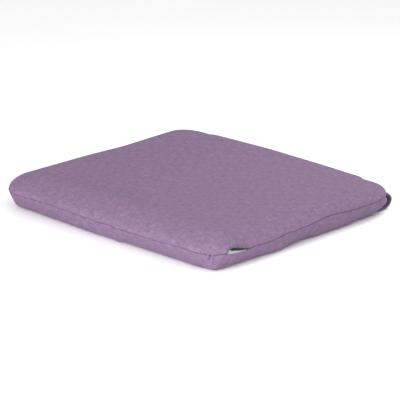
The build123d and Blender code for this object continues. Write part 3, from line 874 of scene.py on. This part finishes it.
# A tape's woven base and its prongs. A prong is a triangle carried along a line that stands on the base: an
# arch's height is the sine of half a turn, and a hook's the sine of a little more than a quarter turn.
def pileTape(name, node, body, material, up, looped, seed):
    low, high = [np.array(c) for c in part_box(node)]
    rng = np.random.default_rng(seed)
    root, tip = (low[2], high[2]) if up else (high[2], low[2])
    way = 1 if up else -1
    room = abs(tip - root) - pile["base"]
    gx, gy = [np.arange(low[i] + pile["margin"], high[i] - pile["margin"], pile["pitch"]) for i in (0, 1)]
    feet = np.stack(np.meshgrid(gx, gy), -1).reshape(-1, 2)
    feet = feet + rng.uniform(-pile["jitter"], pile["jitter"], feet.shape) * pile["pitch"]
    turn = rng.uniform(0, 2 * math.pi, len(feet)) if looped else rng.choice([0, math.pi], len(feet))
    t = np.linspace(0, 1, pile["steps"])
    # a loop is a low arch; a hook stands up and bends over at its end
    if looped:
        reach = (t - 0.5) * pile["archWide"] * pile["pitch"]
        height = np.sin(t * math.pi)
    else:
        reach = pile["hookReach"] * pile["pitch"] * smooth(t, 0.45, 1) ** 1.3
        height = np.sin(t * pile["hookRound"] * math.pi / 2)
    direction = np.stack([np.cos(turn), np.sin(turn)], -1)
    line = np.zeros((len(feet), len(t), 3))
    line[..., :2] = feet[:, None] + reach[None, :, None] * direction[:, None]
    line[..., 2] = root + way * (pile["base"] * 0.8 + height[None] * (room + 0.1 * pile["base"]))
    turns = np.arange(3) / 3 * 2 * math.pi
    side = np.stack([-direction[:, 1], direction[:, 0], np.zeros(len(feet))], -1)
    ahead = np.gradient(line, axis=1)
    ahead /= np.linalg.norm(ahead, axis=2, keepdims=True)
    other = np.cross(side[:, None], ahead)
    points = line[:, :, None] + pile["thin"] * (
        np.cos(turns)[:, None] * side[:, None, None] + np.sin(turns)[:, None] * other[:, :, None])
    walls, caps = tubeFaces(len(t), 3)
    start = (np.arange(len(feet)) * len(t) * 3)[:, None, None]
    prongs = [(walls[None] + start).reshape(-1, 4), (caps[None] + start).reshape(-1, 3)]
    # the woven base, with its corners cut round
    flat = np.array([low[:2], [high[0], low[1]], high[:2], [low[0], high[1]]])
    towards = np.stack([np.roll(flat, 1, 0), np.roll(flat, -1, 0)], 1) - flat[:, None]
    towards = towards / np.linalg.norm(towards, axis=2, keepdims=True)
    rim = (flat[:, None] + towards * pile["cornerCut"]).reshape(-1, 2)
    heights = (root, root + way * pile["base"])
    slab = np.concatenate([np.column_stack([rim, np.full(8, h)]) for h in heights])
    base = tubeFaces(2, 8, len(feet) * len(t) * 3)
    if not up:
        base = [f[:, ::-1] for f in base]
    piece = makeMesh(name, np.vstack([points.reshape(-1, 3), slab]), prongs + base, material)
    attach(piece, body)
    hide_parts(node)
    return piece


for side, seed in (("right", 11), ("left", 12)):
    hook = pileTape("hookTape" + side.title(), "hook_tape_" + side, "strap_" + side, hookNylon,
                    up=True, looped=False, seed=seed)
    loop = pileTape("loopTape" + side.title(), "loop_tape_" + side, "pad", loopNylon,
                    up=False, looped=True, seed=seed + 10)
print("hook and loop tapes ready")

# side label
# A ribbon folded back on itself, with both ends in the seam. Its front end stands up more than its rear.
labelForm = {"front": -172.5 * mm, "rear": -142.5 * mm, "reach": 12.6 * mm, "root": 1.6 * mm,
             "thick": 0.35 * mm, "rows": 64, "columns": 36,
             "frontRise": 50, "rearRise": 35,           # in degrees
             "liftPart": (0.06, 0.42),                  # it turns up once it has left the seam
             "apart": 0.25 * mm, "belly": 0.75 * mm, "bow": 0.9 * mm,
             "skew": 5.0 * mm, "skewLess": 0.75}        # the fold lies a little askew, less at its rear end


# Section of the fold in its own plane: out along the upper ply, round the fold and back, by part t. The
# plies stand apart by a sine, the whole bows by another, and both thin to nothing at the fold.
def labelFold(t, rise, belly):
    f = labelForm
    outward = 1 - np.abs(2 * t - 1)                         # 0 at both ends, 1 at the fold
    thinning = np.sqrt(np.clip(1 - outward ** 6, 0, 1))
    ply = np.sign(0.5 - t) * (f["apart"] + belly * np.sin(outward * math.pi * 0.9)) * thinning
    lift = rise * smooth(outward, *f["liftPart"])
    d = outward * (f["reach"] + f["root"]) - f["root"]
    bow = f["bow"] * np.sin(outward * math.pi)
    return d * np.cos(lift) - ply * np.sin(lift), d * np.sin(lift) + ply * np.cos(lift) + bow, outward


y = np.linspace(labelForm["front"], labelForm["rear"], labelForm["columns"])
sideSteps = seamSteps // 4                                # the front right corner and the side behind it
sideU = np.arange(sideSteps) / seamSteps
rootU = np.interp(y, seamLine[:sideSteps, 1], sideU)
rootX = np.interp(rootU, sideU, seamLine[:sideSteps, 0])
across = (y - y[0]) / (y[-1] - y[0])
t, acrossGrid = np.meshgrid(np.linspace(0, 1, labelForm["rows"]), across, indexing="ij")
moreRise = labelForm["rearRise"] - labelForm["frontRise"]
rise = np.radians(labelForm["frontRise"] + moreRise * smooth(acrossGrid, 0, 0.8))
belly = labelForm["belly"] * (1 - 0.5 * acrossGrid)
outX, outZ, outward = labelFold(t, rise, belly)
foldY = y[None] + labelForm["skew"] * outward * (1 - labelForm["skewLess"] * acrossGrid)
points = np.stack([rootX[None] + outX, foldY, seamZ(rootU)[None] + outZ], -1)
faces = gridQuads(labelForm["rows"], labelForm["columns"], False)
cut = np.stack([acrossGrid, outward], -1)
sideLabel = makeMesh("sideLabel", points.reshape(-1, 3), [faces], labelSatin, cut.reshape(-1, 2),
                     closed=False)
thicken(sideLabel, "ribbonThickness", labelForm["thick"], 0)
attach(sideLabel, "pad")
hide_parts("side_label")
print("label ready")

# CAD parts that stay get their own finishes
finishes = {"zip_teeth_upper": zipAcetal, "zip_teeth_lower": zipAcetal, "zip_top_stops": zipAcetal,
            "zip_bottom_stop": zipAcetal, "zip_slider": zipPaint, "zip_pull": zipPaint,
            "care_label": careSatin}
for node, material in finishes.items():
    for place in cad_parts[node].material_slots:
        place.material = material

# camera, light, floor
camera = {"azimuth": 44.4, "elevation": 18.06, "distance": 3.754, "lens": 225, "sensor": 36,
          "shiftX": 0.0052, "shiftY": -0.0195, "aim": (0, 0, 0.026)}
studio = {"floorSize": 12, "floorZ": -0.0002, "floor": "FBFBFB", "world": "FFFFFF", "worldStrength": 0.9}


# Places an object on a sphere, turned to face its middle: azimuth from the front, elevation from level.
def placeRound(thing, azimuth, elevation, distance, aim=(0, 0, 0)):
    a, e = math.radians(azimuth), math.radians(elevation)
    out = np.array([math.sin(a) * math.cos(e), -math.cos(a) * math.cos(e), math.sin(e)])
    thing.location = (out * distance + aim).tolist()
    thing.rotation_euler = (math.pi / 2 - e, 0, a)
    scene.collection.objects.link(thing)


cameraData = bpy.data.cameras.new("camera")
cameraData.lens, cameraData.sensor_width = camera["lens"], camera["sensor"]
cameraData.shift_x, cameraData.shift_y = camera["shiftX"], camera["shiftY"]
cameraObject = bpy.data.objects.new("camera", cameraData)
placeRound(cameraObject, camera["azimuth"], camera["elevation"], camera["distance"], camera["aim"])
scene.camera = cameraObject

bpy.ops.mesh.primitive_plane_add(size=studio["floorSize"], location=(0, 0, studio["floorZ"]))
floor = bpy.context.object
floor.name = "studioFloor"
floorMaterial, _, floorShader = newMaterial("matPaperSweep", 0.9)
floorShader.inputs["Base Color"].default_value = srgb(studio["floor"])
floor.data.materials.append(floorMaterial)

world = bpy.data.worlds.new("studio")
scene.world = world
world.use_nodes = True
world.node_tree.nodes["Background"].inputs["Color"].default_value = srgb(studio["world"])
world.node_tree.nodes["Background"].inputs["Strength"].default_value = studio["worldStrength"]
scene.view_settings.view_transform = "Standard"


# square softboxes: azimuth, elevation, distance, size in metres and power in watts
softboxes = {"keySoftbox": (12, 16, 1.4, 0.8, 16), "rearSoftbox": (155, 50, 0.9, 0.5, 3.4),
             "fillSoftbox": (62, 12, 1.0, 0.5, 2.6)}
for name, (azimuth, elevation, distance, size, power) in softboxes.items():
    data = bpy.data.lights.new(name, "AREA")
    data.size, data.energy = size, power
    placeRound(bpy.data.objects.new(name, data), azimuth, elevation, distance)
print("camera and light ready")
